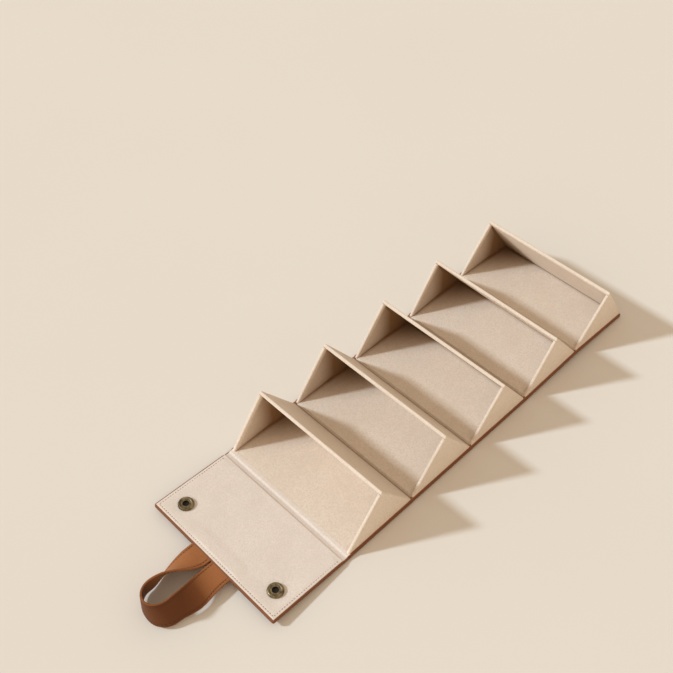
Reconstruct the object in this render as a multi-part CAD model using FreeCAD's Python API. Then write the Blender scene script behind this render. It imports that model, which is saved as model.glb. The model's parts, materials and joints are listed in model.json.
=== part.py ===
"""Roll-up jewellery case: a snap flap and five lined triangular trays on one leather strip, with a loop handle.

Millimetres. X runs across the strip, Y along it from the flap (-Y) to the last tray (+Y), Z is up.
The origin is the middle of the outer face of the tray that the closed case stands on.
The case lies open. Folding every crease closes the trays into a regular prism with the flap lapped over the
last tray. Each panel is drawn flat in its own frame, with its outer face on z = 0 and its creases along X.
"""
import FreeCAD, Part
import math
import os

from FreeCAD import Placement, Rotation, Vector

# Strip
TRAY_COUNT = 5
STANDING_TRAY = 2          # the closed case stands on this tray
PITCH = 75.0               # crease to crease
TRAY_WIDTH = 141.0         # across a tray, outside its end walls
SHELL_OVERHANG = 1.8       # leather edge that shows beyond each end wall
LAST_EDGE = 1.6            # the last tray's leather stops this far short of its full pitch

# Sheet materials
LEATHER = 1.2
SKIVED_LEATHER = 0.6       # leather pared thin where it turns over the board
BASE_BOARD = 1.6
WALL_BOARD = 1.4
END_BOARD = 1.2
LINING = 0.6
EDGE_ROUND = 1.0           # turned leather edges
CORNER_ROUND = 2.0         # free corners of the strip
LINED_ROUND = 0.8          # lined wall edges

# Creases
CREASE_RADIUS = 2.4        # outside radius of a folded crease, and the height of its fold axis
CREASE_CLEARANCE = 0.2
CREASE_HIDDEN_SWEEP = 28   # degrees of crease leather that stay behind the next panel when folded
FACE_GAP = 0.25            # each tray stops this far inside the plane that it shares with its neighbour

# Flap
FLAP_LENGTH = 76.0         # fold axis to free edge
FLAP_CLEARANCE = 0.4       # between the closed flap and the last tray at the crease
LINING_MARGIN = 1.6        # leather edge left bare round the flap lining

# Snaps
SNAP_X = 54.0              # from the middle of the strip
SNAP_FROM_EDGE = 19.0      # from the flap's free edge
CAP_DIAMETER = 15.0
CAP_HEIGHT = 3.0
CAP_RIM = 0.7              # straight rim under the dome
BARREL_DIAMETER = 4.6
SOCKET_DIAMETER = 13.6
SOCKET_HEIGHT = 2.3
SOCKET_RIM = 1.1           # radius of the socket's rolled rim
SOCKET_HOLE = 5.4
STUD_FLANGE_DIAMETER = 10.0
STUD_FLANGE = 0.5
STUD_DIAMETER = 4.4
STUD_HEIGHT = 2.6          # flange and ball together
STUD_NECK = 0.4            # how much the ball undercuts to its neck
RIVET_HEAD_DIAMETER = 9.0
RIVET_HEAD = 0.6
RIVET_SHANK_DIAMETER = 2.6
RIVET_DEPTH = 1.4          # shank inside the stud
SNAP_CLEARANCE = 0.3
RIVET_CLEARANCE = 0.05

# Handle
STRAP_WIDTH = 22.0
STRAP = 1.8                # two layers
STRAP_GAP = 1.5            # between the two strap ends
STRAP_END_DEPTH = 12.0     # strap end sewn inside the flap
LOOP_REACH = 62.0          # hinge line to the outside of the loop, at the middle of the strap
LOOP_TURN_RADIUS = 14.5    # middle of the strap in the far bend
LEFT_TWIST, RIGHT_TWIST = 80, 58    # degrees that each leg turns on to edge
LEFT_EASE, RIGHT_EASE = 0.75, 1.2   # the left leg turns sooner than the right one
END_TWIST = 88             # degrees in the middle of the far bend
LOOP_ROOT = 4.0            # flat length next to the hinge line
LOOP_FLOOR_GAP = 0.3
HANDLE_CLEARANCE = 0.3
LEG_STEPS = 12             # sections along each leg
TURN_STEPS = 12            # sections round the far bend

# Worked out from the sizes above
LAST_TRAY = TRAY_COUNT
FOLD = 360.0 / TRAY_COUNT
WALL_ANGLE = math.radians(90.0 - FOLD / 2)
SHELL_HALF = TRAY_WIDTH / 2 + SHELL_OVERHANG
SETBACK = CREASE_RADIUS + CREASE_CLEARANCE
BOARD_TOP = LEATHER + BASE_BOARD
BASE_TOP = BOARD_TOP + SKIVED_LEATHER
WALL = WALL_BOARD + 2 * LINING
END_WALL = END_BOARD + 2 * LINING
TURN_IN = SHELL_OVERHANG + END_WALL
FLAP_EDGE_TOP = BASE_TOP + LINING
FLAP_INNER_FACE = BOARD_TOP + LINING
FLAP_OFFSET = (FLAP_EDGE_TOP + FLAP_CLEARANCE) / math.sin(math.radians(FOLD))
SNAP_REACH = FLAP_LENGTH - SNAP_FROM_EDGE
STRAP_BOTTOM = LEATHER
STRAP_MIDDLE = STRAP_BOTTOM + STRAP / 2
STRAP_END_X = (STRAP_WIDTH + STRAP_GAP) / 2
KNUCKLE = STRAP / 2 + HANDLE_CLEARANCE
LOOP_CENTRE = LOOP_REACH - STRAP / 2 - LOOP_TURN_RADIUS


def block(x, y, z):
    """Box between pairs of X, Y and Z limits."""
    corner = Vector(x[0], y[0], z[0])
    return Part.makeBox(x[1] - x[0], y[1] - y[0], z[1] - z[0], corner)


def extrude_across(profile, x):
    """Solid of a closed YZ wire between two X limits."""
    moved = profile.copy()
    moved.translate(Vector(x[0], 0, 0))
    return Part.Face(moved).extrude(Vector(x[1] - x[0], 0, 0))


def outline(points):
    """Closed YZ polygon from (y, z) points."""
    corners = [Vector(0, y, z) for y, z in points]
    return Part.makePolygon(corners + corners[:1])


def turned(points, centre):
    """Solid of revolution of (radius, height) points about the vertical line through centre."""
    corners = [Vector(radius, 0, height) for radius, height in points]
    face = Part.Face(Part.makePolygon(corners + corners[:1]))
    solid = face.revolve(Vector(0, 0, 0), Vector(0, 0, 1), 360)
    solid.translate(centre)
    return solid


def upright(diameter, centre, z):
    """Vertical cylinder between two Z limits."""
    base = Vector(centre.x, centre.y, z[0])
    return Part.makeCylinder(diameter / 2, z[1] - z[0], base)


def edges_where(solid, test):
    """Edges whose every corner passes the test."""
    return [edge for edge in solid.Edges if all(test(corner.Point) for corner in edge.Vertexes)]


def near(a, b):
    return abs(a - b) < 1e-6


def pair(make):
    """One solid for each of the two snaps, as one shape."""
    return Part.makeCompound([make(side * SNAP_X) for side in (-1, 1)])


# Tray section. The lines meet at the fold axes; depth and inset are measured square to them.

def opening_y(z, inset=0.0):
    """The tray's open side, which its neighbour's wall covers when the case is rolled up."""
    return (z - CREASE_RADIUS) / math.tan(WALL_ANGLE) + (FACE_GAP + inset) / math.sin(WALL_ANGLE)


def wall_y(z, depth=0.0):
    """The sloped wall, from its outer face inwards."""
    return PITCH - opening_y(z, depth)


def ridge(inset, depth):
    """Where the open side's line meets the wall's line."""
    half_span = (PITCH - (2 * FACE_GAP + inset + depth) / math.sin(WALL_ANGLE)) / 2
    z = CREASE_RADIUS + half_span * math.tan(WALL_ANGLE)
    return opening_y(z, inset), z


def wall_section(skin):
    """Sloped wall between its faces, less a skin on the faces that show."""
    inner = WALL - skin
    return outline([
        (wall_y(BASE_TOP, skin), BASE_TOP),
        ridge(skin, skin),
        ridge(skin, inner),
        (wall_y(BASE_TOP, inner), BASE_TOP),
    ])


def end_section(skin):
    """Triangular end wall under the sloped wall, less a skin on its open edge."""
    return outline([
        (opening_y(BASE_TOP, skin), BASE_TOP),
        ridge(skin, WALL),
        (wall_y(BASE_TOP, WALL), BASE_TOP),
    ])


# Panels

def leather_shell(y, low_free=False, high_free=False):
    """Outer leather: a sheet whose side edges, and any free end, turn up and over the board."""
    solid = block((-SHELL_HALF, SHELL_HALF), y, (0, BASE_TOP))
    free_ends = [end for end, free in zip(y, (low_free, high_free)) if free]
    corners = [edge for end in free_ends for edge in edges_where(
        solid, lambda p: near(p.y, end) and near(abs(p.x), SHELL_HALF)) if near(edge.Length, BASE_TOP)]
    if corners:
        solid = solid.makeFillet(CORNER_ROUND, corners)
    rims = [edge for edge in solid.Edges if on_rim(edge, y, free_ends)]
    solid = solid.makeFillet(EDGE_ROUND, rims)
    through = 2 * PITCH
    low = y[0] + LEATHER if low_free else y[0] - through
    high = y[1] - LEATHER if high_free else y[1] + through
    solid = solid.cut(block((LEATHER - SHELL_HALF, SHELL_HALF - LEATHER), (low, high), (LEATHER, BOARD_TOP)))
    low = y[0] + TURN_IN if low_free else y[0] - through
    high = y[1] - TURN_IN if high_free else y[1] + through
    window = block((TURN_IN - SHELL_HALF, SHELL_HALF - TURN_IN), (low, high), (BOARD_TOP, 2 * BASE_TOP))
    return solid.cut(window)


def on_rim(edge, y, free_ends):
    """Top and bottom edges round the outside of a panel, apart from its crease ends."""
    points = [corner.Point for corner in edge.Vertexes]
    level = all(near(p.z, points[0].z) for p in points)
    crease_ends = [end for end in y if end not in free_ends]
    at_crease = any(all(near(p.y, end) for p in points) for end in crease_ends)
    return level and not at_crease


def base_board(y, low_free=False, high_free=False):
    """Board that fills the leather shell."""
    low = y[0] + LEATHER if low_free else y[0]
    high = y[1] - LEATHER if high_free else y[1]
    return block((LEATHER - SHELL_HALF, SHELL_HALF - LEATHER), (low, high), (LEATHER, BOARD_TOP))


def floor_lining(y, high_free=False):
    """Lining between the turned-in leather edges."""
    high = y[1] - TURN_IN if high_free else y[1]
    return block((TURN_IN - SHELL_HALF, SHELL_HALF - TURN_IN), (y[0], high), (BOARD_TOP, BASE_TOP))


def crease(tail, toward):
    """Leather bend round the fold axis, with a flat tail to the panel that carries it.

    The fold axis is at y = 0 and toward is the side, +1 or -1, that the next panel lies on.
    """
    inner_radius = CREASE_RADIUS - LEATHER
    sweep = math.radians(FOLD + CREASE_HIDDEN_SWEEP)

    def around(radius, share):
        angle = share * sweep
        return Vector(0, toward * radius * math.sin(angle), CREASE_RADIUS - radius * math.cos(angle))

    outside = Part.Arc(around(CREASE_RADIUS, 0), around(CREASE_RADIUS, 0.5), around(CREASE_RADIUS, 1))
    inside = Part.Arc(around(inner_radius, 1), around(inner_radius, 0.5), around(inner_radius, 0))
    tail_top = Vector(0, -toward * tail, LEATHER)
    tail_bottom = Vector(0, -toward * tail, 0)
    edges = [
        outside.toShape(),
        Part.makeLine(around(CREASE_RADIUS, 1), around(inner_radius, 1)),
        inside.toShape(),
        Part.makeLine(around(inner_radius, 0), tail_top),
        Part.makeLine(tail_top, tail_bottom),
        Part.makeLine(tail_bottom, around(CREASE_RADIUS, 0)),
    ]
    return extrude_across(Part.Wire(edges), (-SHELL_HALF, SHELL_HALF))


def tray_walls():
    """Boards and linings of one tray's sloped wall and end walls, by name."""
    half = TRAY_WIDTH / 2
    wall = extrude_across(wall_section(0), (-half, half))
    open_side = ridge(0, 0)[1], ridge(0, WALL)[1]
    top_edges = edges_where(wall, lambda p: any(near(p.z, z) for z in open_side))
    long_edges = [edge for edge in top_edges if near(edge.Length, TRAY_WIDTH)]
    wall = wall.makeFillet(LINED_ROUND, long_edges)
    wall_board = extrude_across(wall_section(LINING), (LINING - half, half - LINING))
    pieces = {"wall_board": wall_board, "wall_lining": wall.cut(wall_board)}
    for side, name in ((-1, "left"), (1, "right")):
        outer = side * half
        inner = side * (half - END_WALL)
        span = min(outer, inner), max(outer, inner)
        end = extrude_across(end_section(0), span)
        open_edge = (opening_y(BASE_TOP), BASE_TOP), ridge(0, WALL)
        slanted = edges_where(end, lambda p: any(near(p.y, y) and near(p.z, z) for y, z in open_edge))
        slanted = [edge for edge in slanted if not near(edge.Length, END_WALL)]
        end = end.makeFillet(LINED_ROUND, slanted)
        board = extrude_across(end_section(LINING), (span[0] + LINING, span[1] - LINING))
        pieces[f"{name}_end_board"] = board
        pieces[f"{name}_end_lining"] = end.cut(board)
    return pieces


# Flap and snaps

def flap_panel():
    """Leather, board and lining of the flap, with the snap barrels and strap ends let in."""
    y = -FLAP_LENGTH, -SETBACK
    half = SHELL_HALF - LINING_MARGIN
    sunk = SHELL_HALF - TURN_IN
    lining = block((-half, half), (y[0] + LINING_MARGIN, y[1]), (BASE_TOP, FLAP_EDGE_TOP))
    lining = lining.fuse(block((-sunk, sunk), (y[0] + TURN_IN, y[1]), (BOARD_TOP, BASE_TOP)))
    dip = block((LINING - sunk, sunk - LINING), (y[0] + TURN_IN + LINING, y[1]), (FLAP_INNER_FACE, FLAP_EDGE_TOP))
    pieces = {
        "flap_leather": leather_shell(y, low_free=True),
        "flap_board": base_board(y, low_free=True),
        "flap_lining": lining.cut(dip).removeSplitter(),
    }
    barrels = pair(lambda x: upright(BARREL_DIAMETER, Vector(x, -SNAP_REACH, 0), (0, FLAP_INNER_FACE)))
    let_in = barrels.fuse(strap_ends())
    return {name: solid.cut(let_in) for name, solid in pieces.items()}


def strap_ends():
    """The two ends of the handle strap, inside the flap."""
    y = -FLAP_LENGTH, STRAP_END_DEPTH - FLAP_LENGTH
    z = STRAP_BOTTOM, STRAP_BOTTOM + STRAP
    ends = [block((side * STRAP_END_X - STRAP_WIDTH / 2, side * STRAP_END_X + STRAP_WIDTH / 2), y, z)
            for side in (-1, 1)]
    return Part.makeCompound(ends)


def snap_cap(x):
    """Domed cap under the flap's outer face, with its barrel through the flap."""
    radius = CAP_DIAMETER / 2
    rise = CAP_HEIGHT - CAP_RIM
    sphere = (radius ** 2 + rise ** 2) / (2 * rise)
    half_angle = math.asin(radius / sphere) / 2
    rim = Vector(radius, 0, -CAP_RIM)
    on_dome = Vector(sphere * math.sin(half_angle), 0, sphere - CAP_HEIGHT - sphere * math.cos(half_angle))
    top = Vector(0, 0, -CAP_HEIGHT)
    barrel = BARREL_DIAMETER / 2
    points = [top, Vector(0, 0, FLAP_INNER_FACE), Vector(barrel, 0, FLAP_INNER_FACE), Vector(barrel, 0, 0),
              Vector(radius, 0, 0), rim]
    edges = [Part.makeLine(a, b) for a, b in zip(points, points[1:])]
    edges.append(Part.Arc(rim, on_dome, top).toShape())
    solid = Part.Face(Part.Wire(edges)).revolve(Vector(0, 0, 0), Vector(0, 0, 1), 360)
    solid.translate(Vector(x, -SNAP_REACH, 0))
    return solid


def snap_socket(x):
    """Ring socket on the flap's inner face, with a rolled rim."""
    radius = SOCKET_DIAMETER / 2
    hole = SOCKET_HOLE / 2
    top = SOCKET_HEIGHT
    shoulder = top - SOCKET_RIM
    face = hole + SOCKET_RIM
    points = [(hole, 0), (radius, 0), (radius, shoulder), (radius - SOCKET_RIM, top), (face, top), (hole, shoulder)]
    return turned(points, Vector(x, -SNAP_REACH, FLAP_INNER_FACE))


def snap_stud(x, y):
    """Stud under the last tray's outer face: a flange and a waisted ball, bored for its rivet."""
    ball = STUD_DIAMETER / 2
    neck = ball - STUD_NECK
    bore = RIVET_SHANK_DIAMETER / 2 + RIVET_CLEARANCE
    waist = (STUD_FLANGE + STUD_HEIGHT) / 2
    points = [(bore, 0), (STUD_FLANGE_DIAMETER / 2, 0), (STUD_FLANGE_DIAMETER / 2, -STUD_FLANGE),
              (neck, -STUD_FLANGE), (neck, STUD_NECK - waist), (ball, -waist), (ball, STUD_NECK - STUD_HEIGHT),
              (neck, -STUD_HEIGHT), (0, -STUD_HEIGHT), (0, -RIVET_DEPTH), (bore, -RIVET_DEPTH)]
    return turned(points, Vector(x, y, 0))


def snap_rivet(x, y):
    """Rivet that holds a stud, its head let into the board under the floor lining."""
    head = upright(RIVET_HEAD_DIAMETER, Vector(x, y, 0), (BOARD_TOP - RIVET_HEAD, BOARD_TOP))
    shank = upright(RIVET_SHANK_DIAMETER, Vector(x, y, 0), (-RIVET_DEPTH, BOARD_TOP - RIVET_HEAD))
    return head.fuse(shank).removeSplitter()


# Handle, in its own frame: the hinge line is the X axis and the loop reaches along -Y

def smooth(share):
    return share * share * (3 - 2 * share)


def strap_section(middle, outward, twist):
    """Corners of the strap's rectangle, turned from flat towards the outside of the loop."""
    across = outward * math.cos(twist) - Vector(0, 0, math.sin(twist))
    normal = outward * math.sin(twist) + Vector(0, 0, math.cos(twist))
    return [middle + across * (sx * STRAP_WIDTH / 2) + normal * (sz * STRAP / 2)
            for sx, sz in ((-1, -1), (1, -1), (1, 1), (-1, 1))]


def leg_section(side, share, rise):
    """Section of the left (-1) or right (1) leg at a share of its length, turning on to edge from its root."""
    end, ease = (RIGHT_TWIST, RIGHT_EASE) if side > 0 else (LEFT_TWIST, LEFT_EASE)
    twist = math.radians(end) * smooth(share) ** ease
    top_start = STRAP_GAP / 2
    top_end = LOOP_TURN_RADIUS - math.cos(math.radians(end)) * STRAP_WIDTH / 2
    top_edge = top_start + (top_end - top_start) * (share - 0.7 * math.sin(2 * math.pi * share) / (2 * math.pi))
    x = top_edge + math.cos(twist) * STRAP_WIDTH / 2
    y = -LOOP_ROOT - (LOOP_CENTRE - LOOP_ROOT) * share
    return strap_section(Vector(side * x, y, rise * smooth(share)), Vector(side, 0, 0), twist)


def loop_sections(rise):
    """Strap sections from the left root, round the far bend and back to the right root."""
    shares = [step / LEG_STEPS for step in range(LEG_STEPS + 1)]
    turn = []
    for step in range(1, TURN_STEPS):
        share = step / TURN_STEPS
        outward = Vector(-math.cos(math.pi * share), -math.sin(math.pi * share), 0)
        from_legs = LEFT_TWIST + (RIGHT_TWIST - LEFT_TWIST) * smooth(share)
        more = (END_TWIST - (LEFT_TWIST + RIGHT_TWIST) / 2) * math.sin(math.pi * share) ** 2
        middle = Vector(0, -LOOP_CENTRE, rise) + outward * LOOP_TURN_RADIUS
        turn.append(strap_section(middle, outward, math.radians(from_legs + more)))
    left = [leg_section(-1, share, rise) for share in shares]
    right = [leg_section(1, share, rise) for share in reversed(shares)]
    return left + turn + right


def flat(corners):
    """Flat face of a ring of corners."""
    return Part.Face(Part.makePolygon(corners + corners[:1]))


def strap_through(sections):
    """Strap through its sections. Leather bends and doesn't stretch, so its twist is made of flat triangles."""
    faces = [flat(sections[0]), flat(sections[-1])]
    for here, there in zip(sections, sections[1:]):
        for side in range(len(here)):
            a, b = here[side - 1], here[side]
            c, d = there[side], there[side - 1]
            faces += [flat([a, b, c]), flat([a, c, d])]
    return Part.Solid(Part.Shell(faces))


def handle_loop(rise):
    """The loop, with a round end on the hinge line at each root."""
    loop = strap_through(loop_sections(rise))
    radius = STRAP / 2
    arc = Part.Arc(Vector(0, 0, -radius), Vector(0, radius, 0), Vector(0, 0, radius)).toShape()
    corners = [Vector(0, 0, radius), Vector(0, -LOOP_ROOT, radius), Vector(0, -LOOP_ROOT, -radius),
               Vector(0, 0, -radius)]
    lines = [Part.makeLine(a, b) for a, b in zip(corners, corners[1:])]
    root = Part.Wire([arc] + lines)
    for side in (-1, 1):
        centre = side * STRAP_END_X
        loop = loop.fuse(extrude_across(root, (centre - STRAP_WIDTH / 2, centre + STRAP_WIDTH / 2)))
    return loop.removeSplitter()


# Where the panels lie

def along(y, z=0.0):
    return Placement(Vector(0, y, z), Rotation())


def folded(y, degrees):
    """Turn about the fold axis at y, positive from +Y towards +Z."""
    return Placement(Vector(0, 0, 0), Rotation(Vector(1, 0, 0), degrees), Vector(0, y, CREASE_RADIUS))


def panel_places(folds):
    """Placement of each body for a fold angle, in degrees from flat, at each crease."""
    places = {STANDING_TRAY: along(-PITCH / 2)}
    for tray in range(STANDING_TRAY + 1, TRAY_COUNT + 1):
        places[tray] = places[tray - 1] * along(PITCH) * folded(0, folds[tray])
    for tray in range(STANDING_TRAY - 1, 0, -1):
        places[tray] = places[tray + 1] * along(-PITCH) * folded(PITCH, -folds[tray])
    places["flap"] = places[1] * along(-FLAP_OFFSET) * folded(0, -folds["flap"])
    places["handle"] = places["flap"] * along(-FLAP_LENGTH - KNUCKLE, STRAP_MIDDLE)
    return places


def closed_folds():
    """Every tray crease folds alike; the flap stops on the seated snaps, a little less folded."""
    folds = {tray: FOLD for tray in range(1, TRAY_COUNT + 1)}
    seated = SOCKET_HEIGHT + STUD_FLANGE + SNAP_CLEARANCE
    spare = seated + FLAP_INNER_FACE - FLAP_OFFSET * math.sin(math.radians(FOLD))
    folds["flap"] = FOLD - math.degrees(math.asin(spare / SNAP_REACH))
    return folds


def stud_y():
    """Where the flap's sockets meet the last tray when the case is closed."""
    places = panel_places(closed_folds())
    socket = places["flap"].multVec(Vector(0, -SNAP_REACH, FLAP_INNER_FACE + SOCKET_HEIGHT))
    return places[LAST_TRAY].inverse().multVec(socket).y


def resting_folds():
    """Open on a table: the flap lies on its caps, and the last tray on its studs and its far edge."""
    folds = {tray: 0.0 for tray in range(1, TRAY_COUNT + 1)}
    cap_arm = math.hypot(SNAP_REACH, CREASE_RADIUS + CAP_HEIGHT)
    cap_angle = math.atan2(CREASE_RADIUS + CAP_HEIGHT, SNAP_REACH)
    folds["flap"] = math.degrees(cap_angle - math.asin(CREASE_RADIUS / cap_arm))
    far_edge = PITCH - LAST_EDGE - EDGE_ROUND
    stud_edge = stud_y() + STUD_DIAMETER / 2 - STUD_NECK
    dip = math.atan(STUD_HEIGHT / (far_edge - stud_edge))
    lift = far_edge * math.sin(dip) - CREASE_RADIUS * (1 - math.cos(dip))
    climb = math.asin(lift / PITCH)
    folds[LAST_TRAY - 1] = math.degrees(climb)
    folds[LAST_TRAY] = -math.degrees(climb + dip)
    return folds


def loop_rise(places):
    """How far the loop lifts off its root's plane, so that the strap on edge clears the table."""
    rises = []
    for share in [step / LEG_STEPS for step in range(1, LEG_STEPS + 1)]:
        corners = leg_section(-1, share, 0) + leg_section(1, share, 0)
        low = min(places["handle"].multVec(corner).z for corner in corners)
        rises.append((LOOP_FLOOR_GAP - low) / smooth(share))
    return max(rises)


def build():
    """Every node's shape in the case's frame."""
    places = panel_places(resting_folds())
    nodes = {}

    def put(name, body, shape):
        nodes[name] = shape.copy()
        nodes[name].Placement = places[body] * shape.Placement

    for name, shape in flap_panel().items():
        put(name, "flap", shape)
    put("snap_caps", "flap", pair(snap_cap))
    put("snap_sockets", "flap", pair(snap_socket))
    put("handle_ends", "flap", strap_ends())
    put("handle_loop", "handle", handle_loop(loop_rise(places)))

    walls = tray_walls()
    stud_line = stud_y()
    rivets = pair(lambda x: snap_rivet(x, stud_line))
    for tray in range(1, TRAY_COUNT + 1):
        last = tray == LAST_TRAY
        y = SETBACK, PITCH - (LAST_EDGE if last else SETBACK)
        base = {
            "leather": leather_shell(y, high_free=last),
            "base_board": base_board(y, high_free=last),
            "floor_lining": floor_lining(y, high_free=last),
        }
        for piece, shape in base.items():
            put(f"tray_{tray}_{piece}", tray, shape.cut(rivets) if last else shape)
        for piece, shape in walls.items():
            put(f"tray_{tray}_{piece}", tray, shape)
    put("snap_studs", LAST_TRAY, pair(lambda x: snap_stud(x, stud_line)))
    put("snap_rivets", LAST_TRAY, rivets)

    flap_crease = crease(SETBACK + FLAP_OFFSET, -1)
    flap_crease.translate(Vector(0, -FLAP_OFFSET, 0))
    put("crease_flap", 1, flap_crease)
    for tray in range(1, TRAY_COUNT):
        name = f"crease_{tray}_{tray + 1}"
        if tray < STANDING_TRAY:
            put(name, tray + 1, crease(SETBACK, -1))
        else:
            fold = crease(SETBACK, 1)
            fold.translate(Vector(0, PITCH, 0))
            put(name, tray, fold)
    return nodes


def main():
    os.makedirs("parts", exist_ok=True)
    for name, shape in build().items():
        shape.exportStep(os.path.join("parts", f"{name}.step"))


if __name__ == "__main__":
    main()
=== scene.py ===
"""Looks of the roll-up jewellery case: cognac leather, pale suede lining, stitched edges and brass snaps.

Metres. Every piece is drawn on the case unrolled flat: X across, Y along the strip, Z up from the outer
leather. Trays 1 to 3 lie flat as drawn. The flap and trays 4 and 5 rest at a slight tilt, so what is drawn
for them is turned about its crease afterwards. Each piece keeps its flat places in an attribute that its
finish is drawn by.
"""
import json
import math
from contextlib import contextmanager

import bmesh
import bpy
from mathutils import Matrix, Vector, noise


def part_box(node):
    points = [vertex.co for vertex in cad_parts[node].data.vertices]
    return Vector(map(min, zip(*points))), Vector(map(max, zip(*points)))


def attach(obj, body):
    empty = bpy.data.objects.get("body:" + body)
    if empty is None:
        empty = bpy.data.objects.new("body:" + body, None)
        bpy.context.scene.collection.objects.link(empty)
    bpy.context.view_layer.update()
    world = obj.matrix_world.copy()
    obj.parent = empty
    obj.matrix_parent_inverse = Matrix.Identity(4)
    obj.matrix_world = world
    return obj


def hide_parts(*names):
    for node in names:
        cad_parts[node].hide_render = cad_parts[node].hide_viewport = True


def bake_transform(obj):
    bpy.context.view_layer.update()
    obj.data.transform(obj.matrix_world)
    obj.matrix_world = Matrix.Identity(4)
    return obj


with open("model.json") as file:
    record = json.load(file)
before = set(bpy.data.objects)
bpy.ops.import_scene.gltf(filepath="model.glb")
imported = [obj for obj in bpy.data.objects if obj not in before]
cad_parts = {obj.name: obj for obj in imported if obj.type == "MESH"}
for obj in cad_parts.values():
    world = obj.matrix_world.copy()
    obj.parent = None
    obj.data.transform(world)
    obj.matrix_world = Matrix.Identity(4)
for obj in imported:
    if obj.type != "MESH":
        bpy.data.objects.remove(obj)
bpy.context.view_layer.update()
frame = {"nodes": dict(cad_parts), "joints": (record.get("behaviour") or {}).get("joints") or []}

MM = 0.001
TOUCH = 0.001 * MM                                  # places nearer than this are the same place

# Sizes read from the frame
HINGES = {joint["name"]: joint for joint in frame["joints"]}
PLACE = {name: Vector(joint["pos_m"]) for name, joint in HINGES.items()}
TURN = {name: math.radians(joint["range_deg"][1]) for name, joint in HINGES.items()}
PITCH = PLACE["fold_2_3"].y - PLACE["fold_1_2"].y
AXIS = PLACE["fold_2_3"].z                          # height of a fold axis above the outer leather
FOLD = TURN["fold_2_3"]                             # what each tray crease folds by
SHELL_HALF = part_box("tray_2_leather")[1].x
BASE_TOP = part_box("tray_2_leather")[1].z
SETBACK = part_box("tray_2_leather")[0].y - PLACE["fold_1_2"].y
TRAY_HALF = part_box("tray_2_wall_lining")[1].x
END_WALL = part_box("tray_2_right_end_lining")[1].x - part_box("tray_2_right_end_lining")[0].x
INSIDE_HALF = TRAY_HALF - END_WALL

# Sizes of the sewn and lined parts
LEATHER_THICK = 1.2 * MM
PADDING = 0.7 * MM                                  # soft suede makes the walls thicker on their inner side
WALL = 2.6 * MM + PADDING                           # board, lining and padding
CLEAR_HALF = INSIDE_HALF - PADDING
FACE_GAP = 0.25 * MM                                # tray faces stop this far from the plane where they meet
LAST_EDGE = 1.6 * MM                                # the strip ends this far short of tray 5's full pitch
FLAP_LENGTH = 76 * MM
SNAP_REACH = 57 * MM                                # flap's crease to its snaps
SNAP_X = 54 * MM
EDGE_ROUND = 1.0 * MM
CORNER_ROUND = 2.0 * MM
LINED_ROUND = 1.3 * MM
FLOOR_ROUND = 0.5 * MM
FLOOR_PROUD = 0.15 * MM                             # suede floor above the leather's turned edge
FLOOR_THICK = 0.75 * MM
LINING_MARGIN = 1.4 * MM                            # leather left bare round the flap's lining
LINING_THICK = 0.55 * MM
TURNED = INSIDE_HALF + 0.6 * MM                     # leather is doubled outside this
STITCH_INSET = 3.4 * MM
STRAP_STITCH_INSET = 2.2 * MM
STITCH_PITCH = 2.5 * MM
STITCH = Vector((0.33, 0.82, 0.24)) * MM            # half sizes of one stitch
OUTER_STITCH = 0.22 * MM                            # middle of a stitch, in from the outer face
INNER_STITCH = 0.42 * MM                            # middle of a stitch above the flap's turned edge
FURROW = 0.30 * MM                                  # how deep the stitches draw the leather in
FURROW_WIDTH = 0.6 * MM
PANEL_SUNK = 0.10 * MM                              # the middle of a panel lies this far behind its welt
WELT_CUTS = [inset * MM for inset in (1.5, 2.3, 2.8, 3.1, 3.4, 3.7, 4.0, 4.6, 5.8)]
BEND_CUTS = (-1.15, -0.85, -0.6, -0.35, -0.12, 0.12, 0.35, 0.6, 0.85, 1.15)     # in setbacks from a crease
ROUND_SIDES = 48                                    # sides of a turned piece
STRAP_WIDTH = 22 * MM
STRAP = 1.8 * MM                                    # two layers of leather
STRAP_ROUND = 0.45 * MM
STRAP_EDGE = 0.9                                    # share of its thickness left at the strap's edges
STRAP_PLUMP = 0.16                                  # share that its middle gains on that
STRAP_END_X = 11.75 * MM                            # middle of each strap end in the flap
STRAP_HEIGHT = 2.1 * MM                             # middle of the strap in the flap
STRAP_INSIDE = 12 * MM                              # strap end sewn into the flap
LOOP_REACH = 62 * MM
LOOP_TURN = 14.5 * MM                               # radius of the bend
LOOP_CLEAR = 0.3 * MM                               # the strap on edge clears the table by this
LEG_TWIST = {-1: math.radians(80), 1: math.radians(58)}     # how far each leg turns on to edge
LEG_EASE = {-1: 0.75, 1: 1.2}                       # the left leg turns sooner
LEG_SWAY = 0.7                                      # 0 spreads the legs evenly, 1 starts and ends gently
END_TWIST = math.radians(88)                        # the strap's turn on to edge round the bend
LOOP_ROOT = 4 * MM                                  # length that stays flat beyond the swing line
KNUCKLE = 1.2 * MM                                  # flap's free edge to the line that the handle swings on

FAR_TURN = LOOP_REACH - STRAP / 2 - LOOP_TURN
LEG = FAR_TURN - LOOP_ROOT
TURN_LENGTH = math.pi * LOOP_TURN
STRAP_LENGTH = 2 * (STRAP_INSIDE + LOOP_ROOT + LEG) + TURN_LENGTH

WALL_SLOPE = math.pi / 2 - FOLD / 2
TRAYS = range(1, 6)
CREASE = {tray: PLACE["fold_1_2"].y + (tray - 2) * PITCH for tray in TRAYS}     # where each tray starts
FLAP_CREASE = PLACE["flap_fold"].y
FREE_EDGE = FLAP_CREASE - FLAP_LENGTH
FAR_EDGE = CREASE[5] + PITCH - LAST_EDGE
SNAP_Y = FLAP_CREASE - SNAP_REACH


# Where the panels rest

def turned_about(y, angle):
    """Turn about the fold axis at y on the unrolled strip."""
    pivot = Vector((0, y, AXIS))
    return Matrix.Translation(pivot) @ Matrix.Rotation(angle, 4, "X") @ Matrix.Translation(-pivot)


def slope(start, end):
    return math.atan((end.z - start.z) / (end.y - start.y))


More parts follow.
